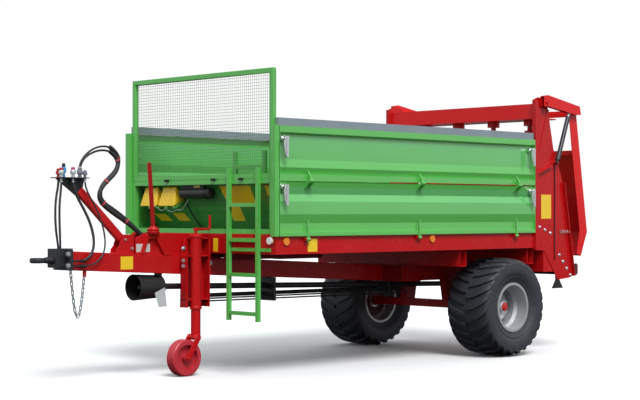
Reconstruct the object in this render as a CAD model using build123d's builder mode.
"""A towed single-axle manure spreader with four standing beaters, parked on its jack.

Millimetres. +X points to the tractor, +Y to the machine's left, +Z up.
The origin lies on the ground, under the middle of the machine's length.
"""
from build123d import *
import math
import os

os.makedirs("parts", exist_ok=True)

SEAT = 0.3  # gap left between two pieces that are bolted, pinned or laid together

# ---- running gear ---------------------------------------------------------------------
AXLE_X = -1673.5
TYRE_D = 932.0
TYRE_W = 500.0
TRACK = 1703.0
AXLE_Z = TYRE_D / 2
RIM_SEAT_R = 218.0
RIM_FLANGE_R = 233.0
RIM_W = 420.0
RIM_WALL = 8.0
HUB_R = 95.0
SPINDLE_R = 30.0
AXLE_BEAM = 75.0
CARCASS_T = 16.0
TREAD_T = 30.0
BEAD_W = 26.0

# ---- platform -------------------------------------------------------------------------
BODY_LENGTH = 3423.0
BODY_REAR = AXLE_X - 453.0
BODY_FRONT = BODY_REAR + BODY_LENGTH
RAIL_HALF = 960.0
RAIL_LOW = 1019.0
RAIL_H = 148.0
RAIL_T = 6.0
RAIL_FLANGE = 55.0
FLOOR_TOP = RAIL_LOW + RAIL_H
FLOOR_T = 6.0
FRONT_BEAM_DEPTH = 80.0
FRONT_BEAM_BACK = BODY_FRONT - 65.0
FRONT_FACE = FRONT_BEAM_BACK + FRONT_BEAM_DEPTH
FRONT_BEAM_TOP = FLOOR_TOP + 18.0
CROSS_H = 80.0
CROSS_W = 60.0
CROSS_COUNT = 6
TUBE_WALL = 5.0

# ---- drawbar and chassis beams ---------------------------------------------------------
BEAM_H = 152.0
BEAM_TOP = 862.0
DRAWBAR_W = 160.0
DRAWBAR_REAR = AXLE_X + 750.0
DRAWBAR_NOSE = FRONT_FACE + 1287.0
DRAWBAR_SLOPE = 0.0539  # rise for each millimetre forward
BEAM_WALL = 8.0
CHASSIS_BEAM_Y = 270.0
CHASSIS_BEAM_W = 100.0
BOLSTER_W = 90.0
BOLSTER_HALF = RAIL_HALF - 30.0
BOLSTER_XS = (AXLE_X + 580.0, AXLE_X - 437.0)

# ---- side boards: two on each side, one above the other ---------------------------------
BOARD_OUT = RAIL_HALF + 26.0
BOARD_DEPTH = 56.0
BOARD_T = 4.0
BOARD_END_GAP = 6.0
BOARD_FOOT = FLOOR_TOP + SEAT
LOWER_BOARD_H = 450.0
BOARD_SPLIT_GAP = 9.0
UPPER_BOARD_H = 442.0
PLANK_H = 66.0
PLANK_T = 40.0
HINGE_XS = (BODY_FRONT - 324.0, BODY_FRONT - 1714.0, BODY_REAR + 307.0)
HINGE_Y = BOARD_OUT - 1.0
HINGE_Z = FLOOR_TOP - 27.0
HINGE_R = 16.0
HINGE_L = 40.0
PIN_R = 8.0
PIN_GAP = 0.3
SPLIT_HINGE_OUT = 40.0  # how far the middle hinge stands off the boards' outer face

# ---- front frame, mesh guard and ladder --------------------------------------------------
FRAME_TUBE = 40.0
FRAME_HALF = BOARD_OUT - BOARD_DEPTH - 7.0
FRAME_X = FRONT_FACE - FRAME_TUBE
FRAME_MID = FLOOR_TOP + 473.0
GUARD_TOP = FLOOR_TOP + 1376.0
POST_W = 56.0
POST_TOP = FLOOR_TOP + 905.0
MESH_WIRE = 3.0
MESH_STEP = 50.0

# ---- spreading unit -----------------------------------------------------------------------
WALL_IN = RAIL_HALF - 16.0
WALL_T = 6.0
WALL_FRONT = BODY_REAR - SEAT
WALL_FLANGE = 44.0
BEATER_X = AXLE_X - 750.0
BEATER_GAP = 24.0
BEATER_STEP = (WALL_IN - BEATER_GAP) / 2
BEATER_TUBE_R = 54.0
BEATER_R = (BEATER_STEP - BEATER_GAP) / 2
BEATER_LOW = 1060.0
BEATER_HIGH = 2180.0
STUB_R = 25.0
GEAR_BEAM_TOP = 1000.0
GEAR_BEAM_H = 220.0
TOP_BEAM_LOW = 2278.0
TOP_BEAM_H = 146.0

# ---- rear hood and its two cylinders ---------------------------------------------------------
PIVOT_X = AXLE_X - 602.0
PIVOT_Z = 2436.0
ARM_IN = WALL_IN + WALL_T + 12.0
ARM_W = 50.0
ARM_T = 5.0
ARM_MID_Y = ARM_IN + ARM_W / 2
CYL_LOW = (AXLE_X - 797.0, 1853.0)
CYL_EYE = (AXLE_X - 999.0, 2357.0)
CYL_R = 22.5
ROD_R = 12.5
EYE_R = 20.0
EYE_W = 24.0
CYL_PIN_R = 10.0


def drawbar_top(x):
    """Height of the drawbar's upper face at a place along the machine."""
    return BEAM_TOP + (x - DRAWBAR_REAR) * DRAWBAR_SLOPE


def box_between(x0, x1, y0, y1, z0, z1, mode=Mode.ADD):
    """A box in the part being built, from its two corners."""
    with Locations(((x0 + x1) / 2, (y0 + y1) / 2, (z0 + z1) / 2)):
        Box(abs(x1 - x0), abs(y1 - y0), abs(z1 - z0), mode=mode)


def plate_xz(points, y0, y1, mode=Mode.ADD):
    """A flat plate with an outline in X and Z, between two places along Y."""
    with BuildSketch(Plane.XZ.offset(-y0)) as outline:
        with BuildLine():
            Polyline(*points, close=True)
        make_face()
    extrude(outline.sketch, amount=y0 - y1, mode=mode)


def plate_yz(points, x0, x1):
    """A flat plate with an outline in Y and Z, between two places along X."""
    with BuildSketch(Plane.YZ.offset(x0)) as outline:
        with BuildLine():
            Polyline(*points, close=True)
        make_face()
    extrude(outline.sketch, amount=x1 - x0)


def bar_y(x, z, radius, y0, y1, mode=Mode.ADD):
    """A round bar or bore along Y."""
    with BuildSketch(Plane.XZ.offset(-y0)) as disc:
        with Locations((x, z)):
            Circle(radius)
    extrude(disc.sketch, amount=y0 - y1, mode=mode)


def bar_x(y, z, radius, x0, x1, mode=Mode.ADD):
    """A round bar or bore along X."""
    with BuildSketch(Plane.YZ.offset(x0)) as disc:
        with Locations((y, z)):
            Circle(radius)
    extrude(disc.sketch, amount=x1 - x0, mode=mode)


def bar_z(x, y, radius, z0, z1, mode=Mode.ADD):
    """A round bar or bore along Z."""
    with BuildSketch(Plane.XY.offset(z0)) as disc:
        with Locations((x, y)):
            Circle(radius)
    extrude(disc.sketch, amount=z1 - z0, mode=mode)


def save(part, name):
    """Label a finished piece and write its STEP file."""
    part.label = name
    export_step(part, "parts/" + name + ".step")


# ==== drawbar: a sloping box beam with a plated trough on top =========================
NOSE_TOP = drawbar_top(DRAWBAR_NOSE)
TROUGH_FRONT = FRONT_FACE + 862.0
TROUGH_TOP = 1185.0
TROUGH_T = 8.0
GLAND_X = FRONT_FACE + 523.0

with BuildPart() as drawbar:
    beam_side = (
        (DRAWBAR_REAR, BEAM_TOP),
        (DRAWBAR_REAR, BEAM_TOP - BEAM_H),
        (DRAWBAR_NOSE, NOSE_TOP - BEAM_H),
        (DRAWBAR_NOSE, NOSE_TOP),
    )
    plate_xz(beam_side, -DRAWBAR_W / 2, DRAWBAR_W / 2)
    hollow_rear = DRAWBAR_REAR + BEAM_WALL
    hollow_front = DRAWBAR_NOSE - BEAM_WALL
    hollow_side = (
        (hollow_rear, drawbar_top(hollow_rear) - BEAM_WALL),
        (hollow_rear, drawbar_top(hollow_rear) - BEAM_H + BEAM_WALL),
        (hollow_front, drawbar_top(hollow_front) - BEAM_H + BEAM_WALL),
        (hollow_front, drawbar_top(hollow_front) - BEAM_WALL),
    )
    hollow_half = DRAWBAR_W / 2 - BEAM_WALL
    plate_xz(hollow_side, -hollow_half, hollow_half, Mode.SUBTRACT)
    # saddle under the front cross beam
    saddle_side = (
        (FRONT_BEAM_BACK, drawbar_top(FRONT_BEAM_BACK)),
        (FRONT_FACE, drawbar_top(FRONT_FACE)),
        (FRONT_FACE, RAIL_LOW),
        (FRONT_BEAM_BACK, RAIL_LOW),
    )
    plate_xz(saddle_side, -DRAWBAR_W / 2, DRAWBAR_W / 2)
    trough_side = (
        (FRONT_FACE, drawbar_top(FRONT_FACE) - 1),
        (TROUGH_FRONT, drawbar_top(TROUGH_FRONT) - 1),
        (TROUGH_FRONT, TROUGH_TOP - 46),
        (TROUGH_FRONT - 122, TROUGH_TOP - 15),
        (TROUGH_FRONT - 257, TROUGH_TOP),
        (FRONT_FACE, TROUGH_TOP),
    )
    for side in (-1, 1):
        y_out = side * DRAWBAR_W / 2
        plate_xz(trough_side, y_out, y_out - side * TROUGH_T)
    # gland block for the hoses that run into the trough
    box_between(GLAND_X - 48, GLAND_X, -42, 42, drawbar_top(GLAND_X - 48) - 2, 1150)
save(drawbar.part, "drawbar")

# ==== towing eye: a bolted plate, a forged bar and a ring ===============================
EYE_Z = 987.0
EYE_TIP = DRAWBAR_NOSE + 414.0
EYE_RING_R = 62.0
EYE_BORE_R = 28.0
EYE_T = 42.0
EYE_PLATE_T = 30.0

with BuildPart() as towing_eye:
    plate_low = NOSE_TOP - BEAM_H
    box_between(DRAWBAR_NOSE, DRAWBAR_NOSE + EYE_PLATE_T, -125, 125, plate_low, NOSE_TOP + 12)
    # guide block for the hoses on top of the shank
    box_between(DRAWBAR_NOSE + EYE_PLATE_T, DRAWBAR_NOSE + 190, -60, 60, EYE_Z + 20, 1078)
    # tapered shank from the plate to the ring
    with BuildSketch(Plane.XY.offset(EYE_Z - EYE_T / 2)):
        with BuildLine():
            Polyline(
                (DRAWBAR_NOSE + EYE_PLATE_T, -58),
                (DRAWBAR_NOSE + EYE_PLATE_T + 110, -58),
                (EYE_TIP - EYE_RING_R, -34),
                (EYE_TIP - EYE_RING_R, 34),
                (DRAWBAR_NOSE + EYE_PLATE_T + 110, 58),
                (DRAWBAR_NOSE + EYE_PLATE_T, 58),
                close=True,
            )
        make_face()
        with Locations((EYE_TIP - EYE_RING_R, 0)):
            Circle(EYE_RING_R)
    extrude(amount=EYE_T)
    box_between(
        DRAWBAR_NOSE + EYE_PLATE_T, DRAWBAR_NOSE + EYE_PLATE_T + 110, -58, 58,
        EYE_Z - 62, EYE_Z + 58,
    )
    bar_z(EYE_TIP - EYE_RING_R, 0, EYE_BORE_R, EYE_Z - EYE_T, EYE_Z + EYE_T, Mode.SUBTRACT)
save(towing_eye.part, "towing_eye")

# ==== chassis beams: a cross box and two beams over the axle ============================
CROSS_BOX = 100.0
CHASSIS_REAR = BOLSTER_XS[1] - BOLSTER_W / 2

with BuildPart() as chassis_beams:
    outer = CHASSIS_BEAM_Y + CHASSIS_BEAM_W / 2
    box_between(DRAWBAR_REAR - CROSS_BOX, DRAWBAR_REAR, -outer, outer, BEAM_TOP - BEAM_H, BEAM_TOP)
    for side in (-1, 1):
        box_between(
            CHASSIS_REAR, DRAWBAR_REAR - CROSS_BOX,
            side * (outer - CHASSIS_BEAM_W), side * outer, BEAM_TOP - BEAM_H, BEAM_TOP,
        )
    hollow_low = BEAM_TOP - BEAM_H + BEAM_WALL
    hollow_high = BEAM_TOP - BEAM_WALL
    cross_rear = DRAWBAR_REAR - CROSS_BOX
    box_between(
        cross_rear + BEAM_WALL, DRAWBAR_REAR - BEAM_WALL, BEAM_WALL - outer, outer - BEAM_WALL,
        hollow_low, hollow_high, Mode.SUBTRACT,
    )
    for side in (-1, 1):
        box_between(
            CHASSIS_REAR - 1, cross_rear - BEAM_WALL, side * (outer - CHASSIS_BEAM_W + BEAM_WALL),
            side * (outer - BEAM_WALL), hollow_low, hollow_high, Mode.SUBTRACT,
        )
save(chassis_beams.part, "chassis_beams")

# ==== bolsters: two hollow cross beams that carry the platform ==========================
with BuildPart() as bolsters:
    for x in BOLSTER_XS:
        with BuildSketch(Plane.XZ.offset(-BOLSTER_HALF)):
            with Locations((x, (BEAM_TOP + RAIL_LOW) / 2)):
                Rectangle(BOLSTER_W, RAIL_LOW - BEAM_TOP)
                Rectangle(BOLSTER_W - 2 * TUBE_WALL, RAIL_LOW - BEAM_TOP - 2 * TUBE_WALL, mode=Mode.SUBTRACT)
        extrude(amount=2 * BOLSTER_HALF)
save(bolsters.part, "bolsters")

# ==== axle: a square beam, two legs and the wheel spindles ===============================
HUB_INNER_Y = TRACK / 2 - 120.0  # inner face of the brake drum
SPINDLE_END = TRACK / 2 + 40.0

with BuildPart() as axle:
    beam_end = HUB_INNER_Y - 30
    box_between(
        AXLE_X - AXLE_BEAM / 2, AXLE_X + AXLE_BEAM / 2, -beam_end, beam_end,
        AXLE_Z - AXLE_BEAM / 2, AXLE_Z + AXLE_BEAM / 2,
    )
    for side in (-1, 1):
        leg_side = (
            (AXLE_X - 60, AXLE_Z + AXLE_BEAM / 2 - 1),
            (AXLE_X + 60, AXLE_Z + AXLE_BEAM / 2 - 1),
            (AXLE_X + 100, BEAM_TOP - BEAM_H),
            (AXLE_X - 100, BEAM_TOP - BEAM_H),
        )
        y_mid = side * CHASSIS_BEAM_Y
        plate_xz(leg_side, y_mid - 40, y_mid + 40)
        bar_y(AXLE_X, AXLE_Z, SPINDLE_R + 25, side * beam_end, side * (HUB_INNER_Y - 10))
        bar_y(AXLE_X, AXLE_Z, SPINDLE_R, side * (HUB_INNER_Y - 10), side * SPINDLE_END)
save(axle.part, "axle")

# ==== wheels: tyre, and rim with disc, hub and brake drum ================================
for side, label in ((1, "left"), (-1, "right")):
    wheel_mid = (AXLE_X, side * TRACK / 2, AXLE_Z)
    wheel_plane = Plane(origin=wheel_mid, x_dir=(0, side, 0), z_dir=(side, 0, 0))
    wheel_axis = Axis(wheel_mid, (0, 1, 0))
    bead = RIM_W / 2 - 14
    with BuildPart() as tyre:
        with BuildSketch(wheel_plane):
            with BuildLine():
                Line((-bead, RIM_SEAT_R + SEAT), (bead, RIM_SEAT_R + SEAT))
                Line((bead, RIM_SEAT_R + SEAT), (bead, RIM_FLANGE_R + 6))
                ThreePointArc((bead, RIM_FLANGE_R + 6), (TYRE_W / 2 - 1, 345), (TYRE_W / 2 - 12, 420))
                Line((TYRE_W / 2 - 12, 420), (TYRE_W / 2 - 40, TYRE_D / 2 - 8))
                ThreePointArc(
                    (TYRE_W / 2 - 40, TYRE_D / 2 - 8), (0, TYRE_D / 2), (40 - TYRE_W / 2, TYRE_D / 2 - 8)
                )
                Line((40 - TYRE_W / 2, TYRE_D / 2 - 8), (12 - TYRE_W / 2, 420))
                ThreePointArc((12 - TYRE_W / 2, 420), (1 - TYRE_W / 2, 345), (-bead, RIM_FLANGE_R + 6))
                Line((-bead, RIM_FLANGE_R + 6), (-bead, RIM_SEAT_R + SEAT))
            make_face()
            # air space between the carcass and the rim
            with BuildLine():
                Polyline(
                    (-bead + BEAD_W, RIM_SEAT_R - 1), (-bead + BEAD_W, RIM_FLANGE_R + 20),
                    (CARCASS_T + 4 - TYRE_W / 2, 345), (CARCASS_T + 12 - TYRE_W / 2, TYRE_D / 2 - 62),
                    (60 - TYRE_W / 2, TYRE_D / 2 - TREAD_T - 8), (TYRE_W / 2 - 60, TYRE_D / 2 - TREAD_T - 8),
                    (TYRE_W / 2 - 12 - CARCASS_T, TYRE_D / 2 - 62), (TYRE_W / 2 - 4 - CARCASS_T, 345),
                    (bead - BEAD_W, RIM_FLANGE_R + 20), (bead - BEAD_W, RIM_SEAT_R - 1), close=True,
                )
            make_face(mode=Mode.SUBTRACT)
        revolve(axis=wheel_axis)
    save(tyre.part, "tyre_" + label)

    with BuildPart() as rim:
        # barrel with its two flanges and the drop centre
        flange = RIM_W / 2
        with BuildSketch(wheel_plane):
            with BuildLine():
                Polyline(
                    (-flange, RIM_FLANGE_R), (-bead - SEAT, RIM_FLANGE_R), (-bead - SEAT, RIM_SEAT_R),
                    (-90, RIM_SEAT_R), (-70, RIM_SEAT_R - 30), (70, RIM_SEAT_R - 30), (90, RIM_SEAT_R),
                    (bead + SEAT, RIM_SEAT_R), (bead + SEAT, RIM_FLANGE_R), (flange, RIM_FLANGE_R),
                    (flange, RIM_SEAT_R - RIM_WALL), (95, RIM_SEAT_R - RIM_WALL),
                    (75, RIM_SEAT_R - 30 - RIM_WALL), (-75, RIM_SEAT_R - 30 - RIM_WALL),
                    (-95, RIM_SEAT_R - RIM_WALL), (-flange, RIM_SEAT_R - RIM_WALL),
                    close=True,
                )
            make_face()
        revolve(axis=wheel_axis)
        # dished disc, hub and brake drum round the spindle
        with BuildSketch(wheel_plane):
            with BuildLine():
                Polyline(
                    (-60, RIM_SEAT_R - 30 - RIM_WALL + 2), (-50, RIM_SEAT_R - 30 - RIM_WALL + 2),
                    (30, HUB_R + 45), (42, HUB_R + 20), (42, HUB_R - 30), (95, HUB_R - 35),
                    (110, HUB_R - 60), (110, 0), (SPINDLE_END - TRACK / 2 + 4, 0),
                    (SPINDLE_END - TRACK / 2 + 4, SPINDLE_R + SEAT),
                    (HUB_INNER_Y - TRACK / 2, SPINDLE_R + SEAT), (HUB_INNER_Y - TRACK / 2, HUB_R + 55),
                    (HUB_INNER_Y - TRACK / 2 + 70, HUB_R + 55), (HUB_INNER_Y - TRACK / 2 + 70, HUB_R),
                    (30, HUB_R), (20, HUB_R + 40),
                    close=True,
                )
            make_face()
        revolve(axis=wheel_axis)
    save(rim.part, "rim_" + label)

# ==== platform: side rails, front beam, cross members and floor ============================
CONVEYOR_REAR = BODY_REAR + 90.0
CONVEYOR_FRONT = BODY_FRONT - 150.0
FLOOR_END_GAP = 50.0

with BuildPart() as side_rails:
    for side in (-1, 1):
        web_in = side * (RAIL_HALF - RAIL_T)
        flange_in = side * (RAIL_HALF - RAIL_FLANGE)
        out = side * RAIL_HALF
        rail_section = (
            (out, RAIL_LOW), (out, FLOOR_TOP), (flange_in, FLOOR_TOP), (flange_in, FLOOR_TOP - RAIL_T),
            (web_in, FLOOR_TOP - RAIL_T), (web_in, RAIL_LOW + RAIL_T),
            (flange_in, RAIL_LOW + RAIL_T), (flange_in, RAIL_LOW),
        )
        plate_yz(rail_section, BODY_REAR, FRONT_BEAM_BACK)
        # two lugs and a pin for each hinge of the lower board
        for x in HINGE_XS:
            for end in (-1, 1):
                x_in = x + end * (HINGE_L / 2 + 1)
                lug = (
                    (out - side, HINGE_Z - HINGE_R), (side * HINGE_Y, HINGE_Z - HINGE_R),
                    (side * (HINGE_Y + HINGE_R), HINGE_Z), (side * HINGE_Y, HINGE_Z + HINGE_R),
                    (out - side, HINGE_Z + HINGE_R),
                )
                plate_yz(lug, x_in, x_in + end * 8)
            bar_x(side * HINGE_Y, HINGE_Z, PIN_R - PIN_GAP, x - HINGE_L / 2 - 3, x + HINGE_L / 2 + 3)
save(side_rails.part, "side_rails")

with BuildPart() as front_beam:
    shoulder = BOARD_OUT - BOARD_DEPTH - 8
    beam_face = (
        (-RAIL_HALF, RAIL_LOW), (RAIL_HALF, RAIL_LOW), (RAIL_HALF, FLOOR_TOP), (shoulder, FLOOR_TOP),
        (shoulder, FRONT_BEAM_TOP), (-shoulder, FRONT_BEAM_TOP), (-shoulder, FLOOR_TOP),
        (-RAIL_HALF, FLOOR_TOP),
    )
    plate_yz(beam_face, FRONT_BEAM_BACK, FRONT_FACE)
    box_between(
        FRONT_BEAM_BACK + BEAM_WALL, FRONT_FACE - BEAM_WALL, BEAM_WALL - shoulder, shoulder - BEAM_WALL,
        RAIL_LOW + BEAM_WALL, FRONT_BEAM_TOP - BEAM_WALL, Mode.SUBTRACT,
    )
save(front_beam.part, "front_beam")

with BuildPart() as cross_members:
    first = CONVEYOR_REAR + 130.0
    last = CONVEYOR_FRONT - 130.0
    for i in range(CROSS_COUNT):
        x = first + (last - first) * i / (CROSS_COUNT - 1)
        with BuildSketch(Plane.XZ.offset(-(RAIL_HALF - RAIL_T))):
            with Locations((x, FLOOR_TOP - FLOOR_T - CROSS_H / 2)):
                Rectangle(CROSS_W, CROSS_H)
                Rectangle(CROSS_W - 2 * TUBE_WALL, CROSS_H - 2 * TUBE_WALL, mode=Mode.SUBTRACT)
        extrude(amount=2 * (RAIL_HALF - RAIL_T))
save(cross_members.part, "cross_members")

with BuildPart() as floor_plate:
    edge = RAIL_HALF - RAIL_FLANGE
    box_between(
        CONVEYOR_REAR + FLOOR_END_GAP, CONVEYOR_FRONT - FLOOR_END_GAP, -edge, edge,
        FLOOR_TOP - FLOOR_T, FLOOR_TOP,
    )
save(floor_plate.part, "floor_plate")

# ==== scraper conveyor: four chains, their slats and two shafts ============================
CHAIN_T = 14.0
CHAIN_W = 30.0
CHAIN_TOP = FLOOR_TOP + SEAT + CHAIN_T
CHAIN_LOW = FLOOR_TOP - FLOOR_T - CROSS_H - 17.0
CHAIN_R = (CHAIN_TOP - CHAIN_LOW) / 2
SHAFT_Z = (CHAIN_TOP + CHAIN_LOW) / 2
CHAIN_OUTER_Y = RAIL_HALF - 110.0
CHAIN_INNER_Y = 90.0
CHAIN_YS = (-CHAIN_OUTER_Y, -CHAIN_INNER_Y, CHAIN_INNER_Y, CHAIN_OUTER_Y)
SLAT_H = 18.0
SLAT_W = 45.0
SLAT_COUNT = 10
SLAT_END = 45.0

with BuildPart() as conveyor:
    for y in CHAIN_YS:
        with BuildSketch(Plane.XZ.offset(-(y - CHAIN_W / 2))):
            with Locations(((CONVEYOR_FRONT + CONVEYOR_REAR) / 2, SHAFT_Z)):
                SlotCenterToCenter(CONVEYOR_FRONT - CONVEYOR_REAR, 2 * CHAIN_R)
                SlotCenterToCenter(
                    CONVEYOR_FRONT - CONVEYOR_REAR, 2 * (CHAIN_R - CHAIN_T), mode=Mode.SUBTRACT
                )
        extrude(amount=-CHAIN_W)
    for side in (-1, 1):
        for i in range(SLAT_COUNT):
            x = CONVEYOR_REAR + (CONVEYOR_FRONT - CONVEYOR_REAR) * (i + 0.5) / SLAT_COUNT
            for z in (CHAIN_TOP - 1, CHAIN_LOW - SLAT_H + 1):
                box_between(
                    x - SLAT_W / 2, x + SLAT_W / 2, side * (CHAIN_INNER_Y - SLAT_END),
                    side * (CHAIN_OUTER_Y + SLAT_END), z, z + SLAT_H,
                )
    for x in (CONVEYOR_REAR, CONVEYOR_FRONT):
        bar_y(x, SHAFT_Z, 25, -(RAIL_HALF - RAIL_T), RAIL_HALF - RAIL_T)
        for y in CHAIN_YS:
            bar_y(x, SHAFT_Z, CHAIN_R - CHAIN_T + 0.5, y - 10, y + 10)
save(conveyor.part, "conveyor")

# ==== side boards =====================================================================
# Sections are folded sheet: (height above the board's foot, inset from the outer face).
LOWER_FOLDS = ((0, 0), (30, 0), (34, 20), (105, 20), (180, 0), (285, 0), (345, 30), (446, 4), (450, 0))
UPPER_FOLDS = ((0, 0), (48, 0), (52, 30), (104, 12), (171, 30), (374, 30), (390, 0), (442, 0))
LATCH_XS = (BODY_FRONT - 51.0, BODY_REAR + 77.0)
LATCH_R = 17.0
LATCH_REACH = 50.0


def folded_sheet(side, folds, foot):
    """Outline of a folded board in Y and Z, seen along the machine."""
    outer = [(side * (BOARD_OUT - inset), foot + height) for height, inset in folds]
    inner = [(y - side * BOARD_T, z) for y, z in reversed(outer)]
    return outer + inner


def board_end(side, foot, height):
    """Outline of the plate that closes a board's end."""
    out = side * BOARD_OUT
    back = side * (BOARD_OUT - BOARD_DEPTH)
    return (out, foot), (out, foot + height), (back, foot + height), (back, foot)


BOARD_REAR = BODY_REAR + BOARD_END_GAP
BOARD_FRONT = BODY_FRONT - BOARD_END_GAP
SPLIT_Z = BOARD_FOOT + LOWER_BOARD_H + BOARD_SPLIT_GAP / 2
UPPER_FOOT = BOARD_FOOT + LOWER_BOARD_H + BOARD_SPLIT_GAP
UPPER_TOP = UPPER_FOOT + UPPER_BOARD_H
SPLIT_Y = BOARD_OUT + SPLIT_HINGE_OUT

for side, label in ((1, "left"), (-1, "right")):
    out = side * BOARD_OUT
    back = side * (BOARD_OUT - BOARD_DEPTH)
    with BuildPart() as lower_board:
        plate_yz(folded_sheet(side, LOWER_FOLDS, BOARD_FOOT), BOARD_REAR, BOARD_FRONT)
        for x in (BOARD_REAR, BOARD_FRONT - BOARD_T):
            plate_yz(board_end(side, BOARD_FOOT, LOWER_BOARD_H), x, x + BOARD_T)
        for x in HINGE_XS:
            # knuckle arm down to the rail's pin
            arm = (
                (out - side * 2, BOARD_FOOT + 10), (out - side * 2, BOARD_FOOT + 130),
                (out + side * 6, BOARD_FOOT + 130), (side * (HINGE_Y + HINGE_R - 2), HINGE_Z + 4),
                (side * HINGE_Y, HINGE_Z), (side * (HINGE_Y - 8), HINGE_Z + 4),
                (side * (HINGE_Y - 8), BOARD_FOOT + 10),
            )
            plate_yz(arm, x - 7, x + 7)
            bar_x(side * HINGE_Y, HINGE_Z, HINGE_R, x - HINGE_L / 2, x + HINGE_L / 2)
            bar_x(side * HINGE_Y, HINGE_Z, PIN_R, x - HINGE_L / 2, x + HINGE_L / 2, Mode.SUBTRACT)
            # two lugs and a pin at the split, for the upper board
            for end in (-1, 1):
                x_in = x + end * (HINGE_L / 2 + 1)
                lug = (
                    (out - side * 26, SPLIT_Z - 5), (out - side * 26, SPLIT_Z - 75),
                    (side * (SPLIT_Y + 4), SPLIT_Z - HINGE_R), (side * (SPLIT_Y + HINGE_R), SPLIT_Z),
                    (side * SPLIT_Y, SPLIT_Z + HINGE_R), (side * (SPLIT_Y - 8), SPLIT_Z - 5),
                )
                plate_yz(lug, x_in, x_in + end * 6)
            bar_x(side * SPLIT_Y, SPLIT_Z, PIN_R - PIN_GAP, x - HINGE_L / 2 - 3, x + HINGE_L / 2 + 3)
        for x in LATCH_XS:
            latch_z = UPPER_FOOT - 58
            bar_y(x, latch_z, LATCH_R, out - side * 36, out + side * 30)
            box_between(x - 9, x + 9, out + side * 22, out + side * LATCH_REACH, latch_z - 150, latch_z + 20)
    save(lower_board.part, "lower_board_" + label)

    with BuildPart() as upper_board:
        plate_yz(folded_sheet(side, UPPER_FOLDS, UPPER_FOOT), BOARD_REAR, BOARD_FRONT)
        for x in (BOARD_REAR, BOARD_FRONT - BOARD_T):
            plate_yz(board_end(side, UPPER_FOOT, UPPER_BOARD_H), x, x + BOARD_T)
        for x in HINGE_XS:
            arm = (
                (out - side * 2, UPPER_FOOT + 4), (out - side * 2, UPPER_FOOT + 80),
                (out + side * 6, UPPER_FOOT + 80), (side * (SPLIT_Y + HINGE_R - 3), SPLIT_Z + 6),
                (side * SPLIT_Y, SPLIT_Z), (side * (SPLIT_Y - 8), SPLIT_Z + 4),
                (side * (SPLIT_Y - 8), UPPER_FOOT + 4),
            )
            plate_yz(arm, x - 7, x + 7)
            bar_x(side * SPLIT_Y, SPLIT_Z, HINGE_R, x - HINGE_L / 2, x + HINGE_L / 2)
            bar_x(side * SPLIT_Y, SPLIT_Z, PIN_R, x - HINGE_L / 2, x + HINGE_L / 2, Mode.SUBTRACT)
        for x in LATCH_XS:
            latch_z = UPPER_TOP - 108
            bar_y(x, latch_z, LATCH_R, out - side * 36, out + side * 30)
            box_between(x - 9, x + 9, out + side * 22, out + side * LATCH_REACH, latch_z - 150, latch_z + 20)
    save(upper_board.part, "upper_board_" + label)

    with BuildPart() as plank:
        box_between(
            BODY_REAR + 10, BODY_FRONT - 10, back, back + side * PLANK_T,
            UPPER_TOP + SEAT, UPPER_TOP + PLANK_H,
        )
    save(plank.part, "plank_" + label)

# ==== front frame: corner posts, stiles and rails =============================================
with BuildPart() as front_frame:
    back = FRAME_X
    stile_in = FRAME_HALF - FRAME_TUBE
    for z in (FRONT_BEAM_TOP, FRAME_MID - FRAME_TUBE):
        box_between(back, FRONT_FACE, -FRAME_HALF, FRAME_HALF, z, z + FRAME_TUBE)
    for side in (-1, 1):
        box_between(
            back, FRONT_FACE, side * stile_in, side * FRAME_HALF,
            FRONT_BEAM_TOP, FRAME_MID,
        )
        # corner post in front of the boards, tied to the stile by its web
        post_back = BODY_FRONT + SEAT * 10
        box_between(
            post_back, post_back + POST_W - 15, side * (BOARD_OUT - BOARD_DEPTH), side * BOARD_OUT,
            FLOOR_TOP, POST_TOP,
        )
        box_between(
            post_back, FRONT_FACE, side * (FRAME_HALF - 2), side * (BOARD_OUT - BOARD_DEPTH + 2),
            FRONT_BEAM_TOP + 2, FRAME_MID,
        )
save(front_frame.part, "front_frame")

# ==== front panel: an inclined sheet with a roof strip, a ledge, two cheeks and holders ===========
PANEL_TOP_BACK = 30.0
PANEL_LOW_BACK = 210.0
PANEL_T = 4.0
LEDGE_Z = FRONT_BEAM_TOP + 20.0
PANEL_TOP = FRAME_MID - FRAME_TUBE
CHOCK_YS = (323.0 - FRAME_HALF, 553.0 - FRAME_HALF)
CHOCK_W = 160.0
CHOCK_TOP = (FRAME_X - 10.0, PANEL_TOP - 12.0)
CHOCK_NOSE = (FRAME_X + 55.0, PANEL_TOP - 195.0)
CHOCK_HEEL = (FRAME_X - 72.0, PANEL_TOP - 125.0)
TUBE_X = FRAME_X - 20.0
TUBE_Z = PANEL_TOP - 95.0
TUBE_R = 42.0


def panel_x(z):
    """Place of the inclined sheet's front face at a height."""
    share = (PANEL_TOP - z) / (PANEL_TOP - LEDGE_Z)
    return FRAME_X - PANEL_TOP_BACK - (PANEL_LOW_BACK - PANEL_TOP_BACK) * share


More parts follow.
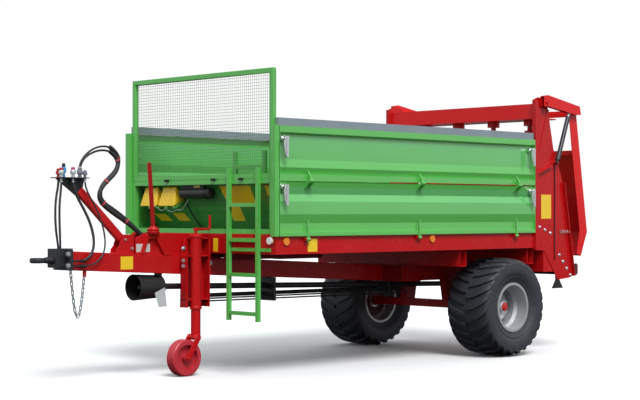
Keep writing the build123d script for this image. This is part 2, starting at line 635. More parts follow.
with BuildPart() as front_panel:
    foot_x = FRAME_X - PANEL_LOW_BACK
    top_x = FRAME_X - PANEL_TOP_BACK
    half = stile_in
    panel_side = (
        (FRAME_X, PANEL_TOP), (top_x - PANEL_T, PANEL_TOP), (foot_x - PANEL_T, LEDGE_Z), (FRAME_X, LEDGE_Z),
        (FRAME_X, LEDGE_Z + PANEL_T), (panel_x(LEDGE_Z + PANEL_T), LEDGE_Z + PANEL_T),
        (panel_x(PANEL_TOP - PANEL_T), PANEL_TOP - PANEL_T), (FRAME_X, PANEL_TOP - PANEL_T),
    )
    plate_xz(panel_side, -half, half)
    for side in (-1, 1):
        cheek = (
            (FRAME_X, PANEL_TOP), (top_x - PANEL_T, PANEL_TOP), (foot_x - PANEL_T, LEDGE_Z), (FRAME_X, LEDGE_Z)
        )
        plate_xz(cheek, side * half, side * (half - PANEL_T))
    # flat holders under the two chocks
    for y in CHOCK_YS:
        for off in (-55, 55):
            strap = (
                (panel_x(CHOCK_HEEL[1] - 8) - 2, CHOCK_HEEL[1] - 0.4), (CHOCK_HEEL[0], CHOCK_HEEL[1] - 0.4),
                (CHOCK_NOSE[0], CHOCK_NOSE[1] - 0.4), (CHOCK_NOSE[0] + 9, CHOCK_NOSE[1] + 12),
                (CHOCK_NOSE[0] + 12, CHOCK_NOSE[1] - 6), (CHOCK_NOSE[0] - 4, CHOCK_NOSE[1] - 10),
                (panel_x(CHOCK_HEEL[1] - 14) - 2, CHOCK_HEEL[1] - 14),
            )
            plate_xz(strap, y + off - 8, y + off + 8)
    # two saddles behind the document tube
    for y in (-120, 90):
        saddle = (
            (panel_x(TUBE_Z + 20) - 2, TUBE_Z + 20), (TUBE_X, TUBE_Z + 20), (TUBE_X, TUBE_Z - 20),
            (panel_x(TUBE_Z - 20) - 2, TUBE_Z - 20),
        )
        plate_xz(saddle, y - 6, y + 6)
    bar_y(TUBE_X, TUBE_Z, TUBE_R + SEAT, -200, 170, Mode.SUBTRACT)
save(front_panel.part, "front_panel")

# ==== mesh guard over the front wall ==============================================================
with BuildPart() as mesh_guard:
    guard_low = FRAME_MID + SEAT
    for z in (guard_low, GUARD_TOP - FRAME_TUBE):
        box_between(FRAME_X, FRONT_FACE, -FRAME_HALF, FRAME_HALF, z, z + FRAME_TUBE)
    for side in (-1, 1):
        box_between(FRAME_X, FRONT_FACE, side * stile_in, side * FRAME_HALF, guard_low, GUARD_TOP)
    wire_x = FRAME_X + FRAME_TUBE / 2
    half = MESH_WIRE / 2
    columns = int(2 * stile_in // MESH_STEP)
    rows = int((GUARD_TOP - guard_low - 2 * FRAME_TUBE) // MESH_STEP)
    low = guard_low + FRAME_TUBE
    for i in range(1, columns):
        y = -stile_in + 2 * stile_in * i / columns
        box_between(wire_x, wire_x + MESH_WIRE, y - half, y + half, low - 1, GUARD_TOP - FRAME_TUBE + 1)
    for i in range(1, rows):
        z = low + (GUARD_TOP - FRAME_TUBE - low) * i / rows
        box_between(wire_x - MESH_WIRE, wire_x, -stile_in - 1, stile_in + 1, z - half, z + half)
save(mesh_guard.part, "mesh_guard")

# ==== ladder in front of the frame, and the inner step behind the guard ==========================
LADDER_YS = (FRAME_HALF - 516.0, FRAME_HALF - 158.0)
LADDER_LOW = 465.0
LADDER_TOP = FRAME_MID + 96.0
STILE = 32.0
RUNG_ZS = (527.0, 846.0, 1135.0, 1425.0)

with BuildPart() as ladder:
    x0 = FRONT_FACE + SEAT
    for y in LADDER_YS:
        box_between(x0, x0 + STILE, y - STILE / 2, y + STILE / 2, LADDER_LOW, LADDER_TOP)
    for z in RUNG_ZS:
        box_between(
            x0, x0 + STILE, LADDER_YS[0] + STILE / 2 - 1, LADDER_YS[1] - STILE / 2 + 1,
            z - STILE / 2, z + STILE / 2,
        )
    box_between(x0, x0 + 12, LADDER_YS[0], FRAME_HALF - 18, 1040, 1070)
    # inner step, bolted to the back of the frame
    x1 = FRAME_X - SEAT
    for y in LADDER_YS:
        box_between(x1 - STILE, x1, y - STILE / 2, y + STILE / 2, FRAME_MID - FRAME_TUBE + 4, FRAME_MID + 230)
    box_between(
        x1 - STILE, x1, LADDER_YS[0] + STILE / 2 - 1, LADDER_YS[1] - STILE / 2 + 1,
        FRAME_MID + 85, FRAME_MID + 85 + STILE,
    )
save(ladder.part, "ladder")

# ==== jack: bracket, outer tube, inner tube, fork and crank =========================================
JACK_X = FRONT_FACE + 165.0
JACK_Y = 170.0
JACK_R = 38.0
JACK_INNER_R = 31.0
JACK_TOP = 1170.0
JACK_LOW = 690.0
JACK_FOOT = 320.0
JACK_WHEEL_D = 305.0
JACK_WHEEL_W = 95.0
JACK_WHEEL_X = JACK_X + 140.0
JACK_WHEEL_Z = JACK_WHEEL_D / 2
JACK_AXLE_R = 12.0

with BuildPart() as jack:
    bar_z(JACK_X, JACK_Y, JACK_R, JACK_LOW, JACK_TOP)
    bar_z(JACK_X, JACK_Y, JACK_INNER_R, JACK_FOOT - 30, JACK_LOW + 1)
    # channel bracket on the drawbar's left side
    plate_y = DRAWBAR_W / 2 + SEAT
    box_between(JACK_X - 105, JACK_X + 105, plate_y, plate_y + 10, JACK_LOW, JACK_TOP - 20)
    for x in (JACK_X - 105, JACK_X + 95):
        box_between(x, x + 10, plate_y + 9, JACK_Y, JACK_LOW, JACK_TOP - 20)
    for z in (JACK_LOW + 40, JACK_TOP - 90):
        box_between(JACK_X - 100, JACK_X + 100, plate_y + 9, JACK_Y, z, z + 12)
    # cross tube and flat fork arms down to the wheel
    arm_in = JACK_WHEEL_W / 2 + 6
    bar_y(JACK_X, JACK_FOOT, 24, JACK_Y - arm_in - 10, JACK_Y + arm_in + 10)
    for side in (-1, 1):
        fork_arm = (
            (JACK_X - 24, JACK_FOOT - 10), (JACK_X + 6, JACK_FOOT + 24),
            (JACK_WHEEL_X + 26, JACK_WHEEL_Z + 6), (JACK_WHEEL_X + 18, JACK_WHEEL_Z - 22),
            (JACK_WHEEL_X - 22, JACK_WHEEL_Z - 16),
        )
        plate_xz(fork_arm, JACK_Y + side * arm_in, JACK_Y + side * (arm_in + 10))
    bar_y(JACK_WHEEL_X, JACK_WHEEL_Z, JACK_AXLE_R, JACK_Y - arm_in - 12, JACK_Y + arm_in + 12)
    # crank on top
    bar_z(JACK_X, JACK_Y, 12, JACK_TOP - 1, JACK_TOP + 62)
    box_between(JACK_X - 10, JACK_X + 10, JACK_Y - 12, JACK_Y + 190, JACK_TOP + 46, JACK_TOP + 62)
    bar_z(JACK_X, JACK_Y + 180, 11, JACK_TOP + 50, JACK_TOP + 165)
save(jack.part, "jack")

with BuildPart() as jack_wheel:
    bar_y(
        JACK_WHEEL_X, JACK_WHEEL_Z, JACK_WHEEL_D / 2,
        JACK_Y - JACK_WHEEL_W / 2, JACK_Y + JACK_WHEEL_W / 2,
    )
    chamfer(jack_wheel.edges().filter_by(GeomType.CIRCLE), 8)
    for side in (-1, 1):
        face_y = JACK_Y + side * JACK_WHEEL_W / 2
        bar_y(JACK_WHEEL_X, JACK_WHEEL_Z, 110, face_y, face_y - side * 34, Mode.SUBTRACT)
        bar_y(JACK_WHEEL_X, JACK_WHEEL_Z, 34, face_y - side * 34, face_y)
    bar_y(
        JACK_WHEEL_X, JACK_WHEEL_Z, JACK_AXLE_R + SEAT,
        JACK_Y - JACK_WHEEL_W, JACK_Y + JACK_WHEEL_W, Mode.SUBTRACT,
    )
save(jack_wheel.part, "jack_wheel")

# ==== hand brake on the trough's left plate ==========================================================
BRAKE_X = FRONT_FACE + 505.0
BRAKE_Y = DRAWBAR_W / 2 + SEAT
BRAKE_Z = 1200.0
BRAKE_TOP = 1765.0

with BuildPart() as hand_brake:
    stand = (
        (BRAKE_X - 110, drawbar_top(BRAKE_X) - 20), (BRAKE_X - 80, drawbar_top(BRAKE_X) - 20),
        (BRAKE_X - 20, BRAKE_Z - 60), (BRAKE_X + 20, BRAKE_Z - 60),
        (BRAKE_X + 80, drawbar_top(BRAKE_X) - 20), (BRAKE_X + 110, drawbar_top(BRAKE_X) - 20),
        (BRAKE_X + 30, BRAKE_Z), (BRAKE_X - 30, BRAKE_Z),
    )
    plate_xz(stand, BRAKE_Y, BRAKE_Y + 10)
    bar_y(BRAKE_X, BRAKE_Z, 48, BRAKE_Y, BRAKE_Y + 70)
    lever = (
        (BRAKE_X - 15, BRAKE_Z + 10), (BRAKE_X + 15, BRAKE_Z + 10),
        (BRAKE_X + 56, BRAKE_TOP), (BRAKE_X + 34, BRAKE_TOP),
    )
    plate_xz(lever, BRAKE_Y + 22, BRAKE_Y + 44)
save(hand_brake.part, "hand_brake")

# ==== hose stand and the couplings parked on it ====================================================
STAND_FOOT = (FRONT_FACE + 812.0, 1120.0)
STAND_HEAD = (FRONT_FACE + 1240.0, 1535.0)
STAND_W = 50.0

with BuildPart() as hose_stand:
    rise = math.atan2(STAND_HEAD[1] - STAND_FOOT[1], STAND_HEAD[0] - STAND_FOOT[0])
    off_x = math.sin(rise) * STAND_W / 2
    off_z = math.cos(rise) * STAND_W / 2
    stand_side = (
        (STAND_FOOT[0] - off_x, STAND_FOOT[1] + off_z), (STAND_FOOT[0] + off_x, STAND_FOOT[1] - off_z),
        (STAND_HEAD[0] + off_x, STAND_HEAD[1] - off_z), (STAND_HEAD[0] - off_x, STAND_HEAD[1] + off_z),
    )
    plate_xz(stand_side, -20, 20)
    # foot between the trough's plates
    inner = DRAWBAR_W / 2 - TROUGH_T
    box_between(STAND_FOOT[0] - 70, STAND_FOOT[0] + 40, -inner, inner, drawbar_top(STAND_FOOT[0]) + 4, 1122)
    # head bracket for the couplings
    head = (
        (STAND_HEAD[0] - 30, STAND_HEAD[1] - 10), (STAND_HEAD[0] + 30, STAND_HEAD[1] - 40),
        (FRONT_FACE + 1465, 1628), (FRONT_FACE + 1465, 1640), (FRONT_FACE + 1205, 1640),
    )
    plate_xz(head, -12, 12)
    box_between(FRONT_FACE + 1195, FRONT_FACE + 1475, -70, 70, 1632, 1640)
save(hose_stand.part, "hose_stand")

# (place along the machine from the front frame's face, Y, radius, height)
COUPLER_TABLE = (
    (1445.0, 40.0, 17.0, 75.0),
    (1403.0, 10.0, 15.0, 110.0),
    (1335.0, 40.0, 17.0, 80.0),
    (1265.0, 30.0, 16.0, 85.0),
    (1215.0, -30.0, 16.0, 80.0),
    (1415.0, -45.0, 15.0, 70.0),
    (1230.0, 55.0, 14.0, 60.0),
)
COUPLER_FOOT = 1640.0 + SEAT

with BuildPart() as couplers:
    for reach, y, radius, height in COUPLER_TABLE:
        bar_z(FRONT_FACE + reach, y, radius, COUPLER_FOOT, COUPLER_FOOT + height)
        bar_z(FRONT_FACE + reach, y, radius + 5, COUPLER_FOOT + height * 0.45, COUPLER_FOOT + height * 0.7)
    # ferrules under the plate, where the hanging hoses start
    for index in (0, 2, 5, 6):
        reach, y = COUPLER_TABLE[index][:2]
        bar_z(FRONT_FACE + reach, y, 12, 1600, 1632 - SEAT)
save(couplers.part, "couplers")

# ==== drive line: guard cone, splined stub and long drive tube =======================================
PTO_Z = 745.0
PTO_FRONT = FRONT_FACE + 705.0
PTO_BACK = FRONT_FACE + 435.0
PTO_STUB_R = 17.5
PTO_STUB_L = 90.0
DRIVE_R = 25.0
DRIVE_REAR_X = BEATER_X + 120.0
DRIVE_REAR_Z = 638.0

with BuildPart() as pto_guard:
    with BuildSketch(Plane.XZ):
        with BuildLine():
            Polyline(
                (PTO_FRONT, PTO_Z + 108), (PTO_FRONT, PTO_Z + 104), (PTO_BACK + 20, PTO_Z + 88),
                (PTO_BACK + 20, PTO_Z + 46), (PTO_BACK, PTO_Z + 46), (PTO_BACK, PTO_Z + 94), close=True,
            )
        make_face()
    revolve(axis=Axis((PTO_FRONT, 0, PTO_Z), (1, 0, 0)))
    box_between(PTO_BACK, PTO_BACK + 20, -40, 40, PTO_Z + 80, drawbar_top(PTO_BACK) - BEAM_H)
save(pto_guard.part, "pto_guard")

with BuildPart() as drive_line:
    bar_x(0, PTO_Z, PTO_STUB_R, PTO_BACK + 30, PTO_FRONT - 60)
    bar_x(0, PTO_Z, 46 - SEAT, PTO_BACK - 40, PTO_FRONT - 60 - PTO_STUB_L)
    tube_start = Vector(PTO_BACK - 20, 0, PTO_Z)
    tube_end = Vector(DRIVE_REAR_X, 0, DRIVE_REAR_Z)
    with BuildSketch(Plane(origin=tube_start, z_dir=tube_end - tube_start)):
        Circle(DRIVE_R)
    extrude(amount=(tube_end - tube_start).length)
save(drive_line.part, "drive_line")

# ==== pipe run: five thin pipes in two clamps under the drawbar =======================================
PIPE_R = 7.0
PIPE_FRONT = FRONT_FACE + 95.0
PIPE_REAR = AXLE_X + 420.0
# (Y, height at the front, height at the rear)
PIPE_TABLE = (
    (-60.0, 660.0, 640.0),
    (-30.0, 640.0, 620.0),
    (40.0, 655.0, 632.0),
    (70.0, 630.0, 610.0),
    (100.0, 610.0, 590.0),
)
CLAMP_XS = (AXLE_X + 2200.0, AXLE_X + 700.0)

with BuildPart() as pipe_run:
    for y, z_front, z_rear in PIPE_TABLE:
        pipe_start = Vector(PIPE_FRONT, y, z_front)
        pipe_end = Vector(PIPE_REAR, y, z_rear)
        with BuildSketch(Plane(origin=pipe_start, z_dir=pipe_end - pipe_start)):
            RegularPolygon(PIPE_R, 8)
        extrude(amount=(pipe_end - pipe_start).length)
    for x in CLAMP_XS:
        tube_z = PTO_Z + (DRIVE_REAR_Z - PTO_Z) * (tube_start.X - x) / (tube_start.X - tube_end.X)
        roof = drawbar_top(x - 12) - BEAM_H if x > DRAWBAR_REAR else BEAM_TOP - BEAM_H
        box_between(x - 12, x + 12, -75, 115, 580, roof - SEAT)
        bar_x(0, tube_z, DRIVE_R + 2, x - 20, x + 20, Mode.SUBTRACT)
save(pipe_run.part, "pipe_run")

# ==== chocks and document tube on the front panel ======================================================
with BuildPart() as chocks:
    for y in CHOCK_YS:
        plate_xz((CHOCK_TOP, CHOCK_NOSE, CHOCK_HEEL), y - CHOCK_W / 2, y + CHOCK_W / 2)
save(chocks.part, "chocks")

with BuildPart() as document_tube:
    bar_y(TUBE_X, TUBE_Z, TUBE_R, -190, 160)
save(document_tube.part, "document_tube")

# ==== spreading unit: walls, top beam, gear beam =========================================================
WALL_OUTLINE = (
    (WALL_FRONT, RAIL_LOW - 19.0), (WALL_FRONT, 2459.0), (AXLE_X - 540.0, 2490.0), (AXLE_X - 650.0, 2475.0),
    (AXLE_X - 700.0, 2380.0), (AXLE_X - 790.0, 1985.0), (AXLE_X - 850.0, 1880.0),
    (AXLE_X - 940.0, 1660.0), (AXLE_X - 1114.0, 728.0), (AXLE_X - 1060.0, 712.0),
    (AXLE_X - 861.0, 696.0), (AXLE_X - 635.0, 990.0),
)
GEAR_BEAM_W = 240.0
GEAR_WALL = 12.0
GEAR_CASE_LOW = 570.0
SHELF_REAR = BEATER_X - 90.0
SHELF_T = 12.0
BEARING_R = 62.0
BEATER_YS = [BEATER_STEP * (i - 1.5) for i in range(4)]

for side, label in ((1, "left"), (-1, "right")):
    with BuildPart() as spreader_wall:
        plate_xz(WALL_OUTLINE, side * WALL_IN, side * (WALL_IN + WALL_T))
        plate_xz(
            (
                (WALL_FRONT, RAIL_LOW - 19), (WALL_FRONT, 2455),
                (WALL_FRONT - WALL_FLANGE, 2455), (WALL_FRONT - WALL_FLANGE, RAIL_LOW - 19),
            ),
            side * WALL_IN, side * BOARD_OUT,
        )
        bar_y(PIVOT_X, PIVOT_Z, 28, side * WALL_IN, side * (ARM_IN - 1))
        bar_y(PIVOT_X, PIVOT_Z, 15 - PIN_GAP, side * WALL_IN, side * (ARM_IN + ARM_W + 12))
        bar_y(CYL_LOW[0], CYL_LOW[1], 24, side * WALL_IN, side * (ARM_MID_Y - EYE_W / 2 - 1))
        bar_y(CYL_LOW[0], CYL_LOW[1], CYL_PIN_R - PIN_GAP, side * WALL_IN, side * (ARM_MID_Y + EYE_W / 2 + 8))
    save(spreader_wall.part, "spreader_wall_" + label)

with BuildPart() as top_beam:
    beam_front = AXLE_X - 490.0
    beam_back = AXLE_X - 560.0
    box_between(beam_back, beam_front, -WALL_IN, WALL_IN, TOP_BEAM_LOW, TOP_BEAM_LOW + TOP_BEAM_H)
    box_between(
        beam_back + BEAM_WALL, beam_front - BEAM_WALL, BEAM_WALL - WALL_IN, WALL_IN - BEAM_WALL,
        TOP_BEAM_LOW + BEAM_WALL, TOP_BEAM_LOW + TOP_BEAM_H - BEAM_WALL, Mode.SUBTRACT,
    )
    box_between(SHELF_REAR, beam_back, -WALL_IN, WALL_IN, TOP_BEAM_LOW, TOP_BEAM_LOW + SHELF_T)
    for y in BEATER_YS:
        bar_z(BEATER_X, y, BEARING_R, TOP_BEAM_LOW - 50, TOP_BEAM_LOW)
        bar_z(BEATER_X, y, STUB_R + SEAT, TOP_BEAM_LOW - 50, TOP_BEAM_LOW - 1, Mode.SUBTRACT)
save(top_beam.part, "top_beam")

with BuildPart() as gear_beam:
    low = GEAR_BEAM_TOP - GEAR_BEAM_H
    box_between(
        BEATER_X - GEAR_BEAM_W / 2, BEATER_X + GEAR_BEAM_W / 2, -WALL_IN, WALL_IN, low, GEAR_BEAM_TOP
    )
    box_between(BEATER_X - 110, BEATER_X + 110, -150, 150, GEAR_CASE_LOW, low)
    box_between(
        BEATER_X - GEAR_BEAM_W / 2 + GEAR_WALL, BEATER_X + GEAR_BEAM_W / 2 - GEAR_WALL,
        GEAR_WALL - WALL_IN, WALL_IN - GEAR_WALL, low + GEAR_WALL, GEAR_BEAM_TOP - GEAR_WALL, Mode.SUBTRACT,
    )
    for y in BEATER_YS:
        bar_z(BEATER_X, y, BEARING_R, GEAR_BEAM_TOP - GEAR_WALL, GEAR_BEAM_TOP + 36)
        bar_z(BEATER_X, y, STUB_R + SEAT, GEAR_BEAM_TOP, GEAR_BEAM_TOP + 40, Mode.SUBTRACT)
    bar_x(0, DRIVE_REAR_Z, 45, BEATER_X + 100, DRIVE_REAR_X - 1.5)
save(gear_beam.part, "gear_beam")

# ==== beaters: four standing augers with bolted blades =====================================================
BLADE_LEVELS = 6
BLADE_T = 10.0
BLADE_W = 90.0
FLIGHT_R = BEATER_R - 68.0

for i, y in enumerate(BEATER_YS):
    with BuildPart() as beater:
        bar_z(BEATER_X, y, BEATER_TUBE_R, BEATER_LOW, BEATER_HIGH)
        bar_z(BEATER_X, y, STUB_R, GEAR_BEAM_TOP + 3, TOP_BEAM_LOW - 6)
        hand = 1 if i % 2 else -1
        for level in range(BLADE_LEVELS):
            z = BEATER_LOW + 130 + (BEATER_HIGH - BEATER_LOW - 200) * level / (BLADE_LEVELS - 1)
            for start in (0, 180):
                turn = math.radians(start + hand * level * 60)
                blade_plane = Plane(
                    origin=(BEATER_X, y, z), x_dir=(math.cos(turn), math.sin(turn), 0), z_dir=(0, 0, 1)
                )
                with BuildSketch(blade_plane):
                    with BuildLine():
                        Polyline(
                            (0, -BEATER_TUBE_R + 6), (FLIGHT_R, -BLADE_W / 2), (BEATER_R, -BLADE_W / 4),
                            (BEATER_R, BLADE_W / 4), (FLIGHT_R, BLADE_W / 2), (0, BEATER_TUBE_R - 6),
                            close=True,
                        )
                    make_face()
                extrude(amount=BLADE_T)
        bar_z(BEATER_X, y, BEATER_R, BEATER_LOW, BEATER_LOW + 10)
    save(beater.part, "beater_" + str(i + 1))

# ==== rubber flaps, light bar and lamps ================================================================
with BuildPart() as rubber_flaps:
    for side in (-1, 1):
        flap = (
            (AXLE_X - 830, 775), (AXLE_X - 900, 775), (AXLE_X - 895, 700), (AXLE_X - 955, 612),
            (AXLE_X - 775, 612), (AXLE_X - 835, 700),
        )
        plate_xz(flap, side * (WALL_IN - SEAT), side * (WALL_IN - SEAT - 8))
save(rubber_flaps.part, "rubber_flaps")

BAR_FRONT = AXLE_X - 1114.0 - SEAT
LIGHT_BAR_T = 70.0
LIGHT_BAR_HALF = WALL_IN + 6.0
LIGHT_BAR_LOW = 735.0
LIGHT_BAR_TOP = 850.0
LIGHT_TAB = 40.0
with BuildPart() as light_bar:
    box_between(BAR_FRONT - LIGHT_BAR_T, BAR_FRONT, -LIGHT_BAR_HALF, LIGHT_BAR_HALF, LIGHT_BAR_LOW, LIGHT_BAR_TOP)
    box_between(
        BAR_FRONT - LIGHT_BAR_T + 4, BAR_FRONT + 1, 4 - LIGHT_BAR_HALF, LIGHT_BAR_HALF - 4,
        LIGHT_BAR_LOW + 4, LIGHT_BAR_TOP - 4, Mode.SUBTRACT,
    )
    for side in (-1, 1):
        box_between(
            BAR_FRONT - LIGHT_BAR_T + 2, BAR_FRONT + LIGHT_TAB, side * (WALL_IN - SEAT),
            side * (WALL_IN - 8), LIGHT_BAR_LOW + 10, LIGHT_BAR_TOP - 10,
        )
save(light_bar.part, "light_bar")

REFLECTOR_R = 32.0
REFLECTOR_XS = (BODY_FRONT - 96.0, BODY_FRONT - 1911.0)

with BuildPart() as lamps:
    for side in (-1, 1):
        face = side * (RAIL_HALF + SEAT)
        for x in REFLECTOR_XS:
            bar_y(x, HINGE_Z - 15, REFLECTOR_R, face, face + side * 14)
        bar_x(side * (FRAME_HALF - 8), HINGE_Z - 8, 30, FRONT_FACE + SEAT, FRONT_FACE + 34)
        # tail lamps on the light bar
        box_between(
            BAR_FRONT - LIGHT_BAR_T - SEAT, BAR_FRONT - 112, side * (LIGHT_BAR_HALF - 250), side * (LIGHT_BAR_HALF - 20), 745, 840,
        )
save(lamps.part, "lamps")

# ==== rear hood: two channel arms, side plates, cross tube and rear sheet ====================================
HOOD_SHEET_T = 5.0
HOOD_SHEET_TOP = (-1211.0, 1990.0)
HOOD_KNEE = (-1339.0, 1167.0)
HOOD_FOOT = (-1234.0, 926.0)
# outline of the hood's rear edge from top to bottom, then forward: (from the axle, height)
HOOD_SIDE = (
    (-1030.0, 2390.0), (-1150.0, 2380.0), HOOD_KNEE, HOOD_FOOT,
    (-1160.0, 950.0), (-1215.0, 1180.0), (-1085.0, 1990.0),
)
ARM_OUTLINE = (
    (-560.0, 2400.0), (-560.0, 2500.0), (-620.0, 2512.0), (-1150.0, 2425.0), (-1170.0, 2340.0),
    (-1080.0, 2340.0), (-640.0, 2400.0),
)

with BuildPart() as hood:
    for side in (-1, 1):
        arm = [(AXLE_X + x, z) for x, z in ARM_OUTLINE]
        plate_xz(arm, side * ARM_IN, side * (ARM_IN + ARM_T))
        plate_xz(arm, side * (ARM_IN + ARM_W - ARM_T), side * (ARM_IN + ARM_W))
        arm_top = (
            arm[1], arm[2], arm[3], (arm[3][0], arm[3][1] - ARM_T), (arm[2][0], arm[2][1] - ARM_T),
            (arm[1][0], arm[1][1] - ARM_T),
        )
        plate_xz(arm_top, side * ARM_IN, side * (ARM_IN + ARM_W))
        bar_y(PIVOT_X, PIVOT_Z, 15, side * (ARM_IN - 5), side * (ARM_IN + ARM_W + 5), Mode.SUBTRACT)
        side_plate = [(AXLE_X + x, z) for x, z in HOOD_SIDE]
        plate_xz(side_plate, side * (ARM_IN - 6), side * (ARM_IN + 1))
    inner = ARM_IN - 5
    sheet_back = [(AXLE_X + x, z) for x, z in (HOOD_SHEET_TOP, HOOD_KNEE, HOOD_FOOT)]
    sheet = sheet_back + [(x + HOOD_SHEET_T, z) for x, z in reversed(sheet_back)]
    plate_xz(sheet, -inner, inner)
    box_between(AXLE_X - 1145, AXLE_X - 1085, -ARM_IN - 1, ARM_IN + 1, 2325, 2385)
    lip_x, lip_z = sheet_back[0]
    top_stiffener = (
        (lip_x + 2, lip_z - 2), (lip_x + 61, lip_z - 2), (lip_x + 61, lip_z - 50), (lip_x - 5, lip_z - 50)
    )
    plate_xz(top_stiffener, -inner, inner)
save(hood.part, "hood")

# ==== hood cylinders: a barrel on the wall's pin and a rod to the arm =========================================
CYL_DX = CYL_EYE[0] - CYL_LOW[0]
CYL_DZ = CYL_EYE[1] - CYL_LOW[1]
CYL_LENGTH = math.hypot(CYL_DX, CYL_DZ)
BARREL_L = CYL_LENGTH - 45.0
ROD_START = 80.0
ROD_GAP = 0.5

for side, label in ((1, "left"), (-1, "right")):
    base = Vector(CYL_LOW[0], side * ARM_MID_Y, CYL_LOW[1])
    along = Vector(CYL_DX, 0, CYL_DZ).normalized()
    eye_in = side * (ARM_MID_Y - EYE_W / 2)
    eye_out = side * (ARM_MID_Y + EYE_W / 2)
    with BuildPart() as barrel:
        bar_y(CYL_LOW[0], CYL_LOW[1], EYE_R, eye_in, eye_out)
        with BuildSketch(Plane(origin=base + along * 12, x_dir=(0, 1, 0), z_dir=along)):
            Circle(EYE_W / 2 - 1)
        extrude(amount=20)
        with BuildSketch(Plane(origin=base + along * 30, x_dir=(0, 1, 0), z_dir=along)):
            Circle(CYL_R)
        extrude(amount=BARREL_L - 30)
        with BuildSketch(Plane(origin=base + along * (ROD_START - 20), x_dir=(0, 1, 0), z_dir=along)):
            Circle(ROD_R + ROD_GAP)
        extrude(amount=BARREL_L, mode=Mode.SUBTRACT)
        bar_y(CYL_LOW[0], CYL_LOW[1], CYL_PIN_R, side * (ARM_MID_Y - 40), side * (ARM_MID_Y + 40), Mode.SUBTRACT)
    save(barrel.part, "cylinder_barrel_" + label)

    with BuildPart() as rod:
        with BuildSketch(Plane(origin=base + along * ROD_START, x_dir=(0, 1, 0), z_dir=along)):
            Circle(ROD_R)
        extrude(amount=CYL_LENGTH - ROD_START)
        bar_y(CYL_EYE[0], CYL_EYE[1], EYE_R - 2, eye_in, eye_out)
        bar_y(CYL_EYE[0], CYL_EYE[1], 8, side * (ARM_MID_Y - 18), side * (ARM_MID_Y + 18))
    save(rod.part, "cylinder_rod_" + label)

# ==== safety chain: long links hanging in a bow under the drawbar's nose =====================
CHAIN_WIRE = 7.0
LINK_INNER = 34.0
LINK_W = 26.0
CHAIN_Y = 60.0
CHAIN_START = (DRAWBAR_NOSE + 86.0, EYE_Z - 62.0)
CHAIN_END = (DRAWBAR_NOSE - 50.0, drawbar_top(DRAWBAR_NOSE - 50.0) - BEAM_H)
CHAIN_SAG = 372.0


def chain_point(share):
    """A place on the hanging chain, from its front end (0) to its rear end (1)."""
    drop = 4 * CHAIN_SAG * share * (1 - share)
    x = CHAIN_START[0] + (CHAIN_END[0] - CHAIN_START[0]) * share
    z = CHAIN_START[1] + (CHAIN_END[1] - CHAIN_START[1]) * share - drop
    return Vector(x, CHAIN_Y, z)


def link_outline(length, width):
    """Corners of one link's outline, an oblong with cut corners."""
    a = length / 2
    b = width / 2
    c = b * 0.6
    return (
        (-a, -b + c), (-a + c, -b), (a - c, -b), (a, -b + c),
        (a, b - c), (a - c, b), (-a + c, b), (-a, b - c),
    )


with BuildPart() as safety_chain:
    steps = 2000
    travelled = 0.0
    next_link = LINK_INNER / 2 + CHAIN_WIRE
    turned = False
    before = chain_point(0)
    for i in range(1, steps + 1):
        here = chain_point(i / steps)
        travelled += (here - before).length
        if travelled >= next_link and i < steps * 0.985:
            along = (here - before).normalized()
            across = Vector(0, 1, 0) if turned else along.cross(Vector(0, 1, 0))
            with BuildSketch(Plane(origin=here, x_dir=along, z_dir=across)):
                Polygon(*link_outline(LINK_INNER + 2 * CHAIN_WIRE, LINK_W), align=None)
                Polygon(*link_outline(LINK_INNER, LINK_W - 2 * CHAIN_WIRE), align=None, mode=Mode.SUBTRACT)
            extrude(amount=CHAIN_WIRE / 2, both=True)
            next_link += LINK_INNER + 0.5
            turned = not turned
        before = here
save(safety_chain.part, "safety_chain")

# ==== hoses: each a route of straight runs and tangent arcs =====================================
FERRULE_FOOT = 1600.0
GUIDE_TOP = 1078.0
FLANGE_REAR = DRAWBAR_NOSE
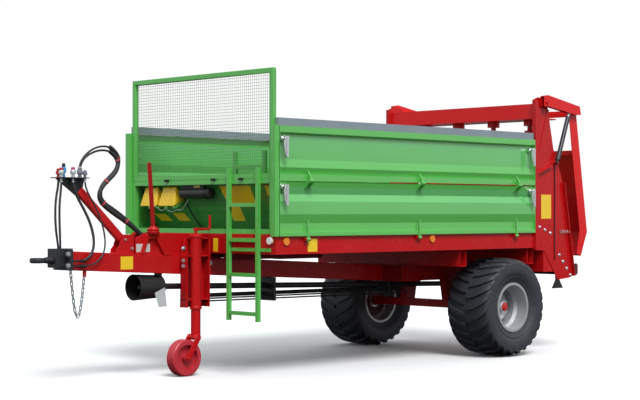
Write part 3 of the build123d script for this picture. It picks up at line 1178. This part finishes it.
# name, radius, route points (from the axle, Y, height)
HOSE_TABLE = (
    ("hose_loop_inner", 9.0, (
        (4200, -30, 1720.3), (4192, -29, 1756), (4155, -27, 1806), (4088, -22, 1846), (4005, -16, 1868),
        (3925, -8, 1860), (3866, 0, 1820), (3848, 8, 1755), (3880, 15, 1690), (3945, 20, 1635),
        (4015, 25, 1580), (4058, 29, 1520), (4052, 31, 1455), (3995, 31, 1405), (3920, 30, 1358),
        (3835, 28, 1312), (3745, 26, 1262), (3665, 24, 1205), (3605, 22, 1155), (3556, 22, 1128),
        (3508, 22, 1120),
    )),
    ("hose_loop_outer", 8.0, (
        (4250, 30, 1725.3), (4240, 30, 1765), (4195, 28, 1820), (4120, 22, 1870), (4025, 12, 1898),
        (3930, 0, 1893), (3850, -12, 1850), (3822, -20, 1775), (3850, -26, 1700), (3912, -30, 1645),
        (3975, -33, 1588), (4005, -35, 1525), (3990, -36, 1465), (3935, -35, 1420), (3860, -33, 1380),
        (3775, -30, 1325), (3690, -26, 1262), (3615, -23, 1200), (3560, -22, 1152), (3508, -22, 1136),
    )),
    ("hose_front_outer", 9.0, (
        (4430, 40, 1600), (4436, 41, 1530), (4449, 43, 1440), (4453, 46, 1330), (4450, 48, 1220),
        (4444, 45, 1138), (4440, 42, 1078),
    )),
    ("hose_front_inner", 9.0, (
        (4400, -45, 1600), (4404, -44, 1560), (4420, -42, 1500), (4432, -38, 1420), (4436, -34, 1320),
        (4432, -30, 1220), (4420, -28, 1140), (4412, -27, 1078),
    )),
    ("hose_side_inner", 11.0, (
        (4320, 40, 1600), (4312, 42, 1550), (4280, 48, 1475), (4230, 58, 1392), (4186, 72, 1300),
        (4160, 88, 1200), (4158, 101, 1112), (4182, 107, 1040), (4226, 110, 995), (4272, 110, 980),
    )),
    ("hose_side_outer", 7.0, (
        (4215, 55, 1600), (4206, 56, 1552), (4168, 60, 1482), (4118, 66, 1402), (4076, 75, 1312),
        (4050, 86, 1212), (4044, 97, 1112), (4070, 105, 1026), (4128, 109, 968), (4202, 110, 942),
        (4272, 110, 938),
    )),
)

for name, radius, route in HOSE_TABLE:
    points = [Vector(AXLE_X + x, y, z) for x, y, z in route]
    bends = []
    for before, here, after in zip(points, points[1:], points[2:]):
        turn = math.radians((here - before).get_angle(after - here))
        shorter = min((here - before).length, (after - here).length)
        bends.append(0.45 * shorter / math.tan(turn / 2))
    with BuildPart() as hose:
        with BuildLine() as route_line:
            FilletPolyline(*points, radius=bends)
        start = route_line.line @ 0
        with BuildSketch(Plane(origin=start, z_dir=route_line.line % 0)):
            Circle(radius)
        sweep(path=route_line.line)
    length = sum(edge.length for edge in route_line.line.edges())
    share = hose.part.volume / (math.pi * radius**2 * length)
    print(
        name, "length", round(length), "least radius", round(min(bends)),
        "of", round(10 * radius), "volume share", round(share, 4),
    )
    save(hose.part, name)
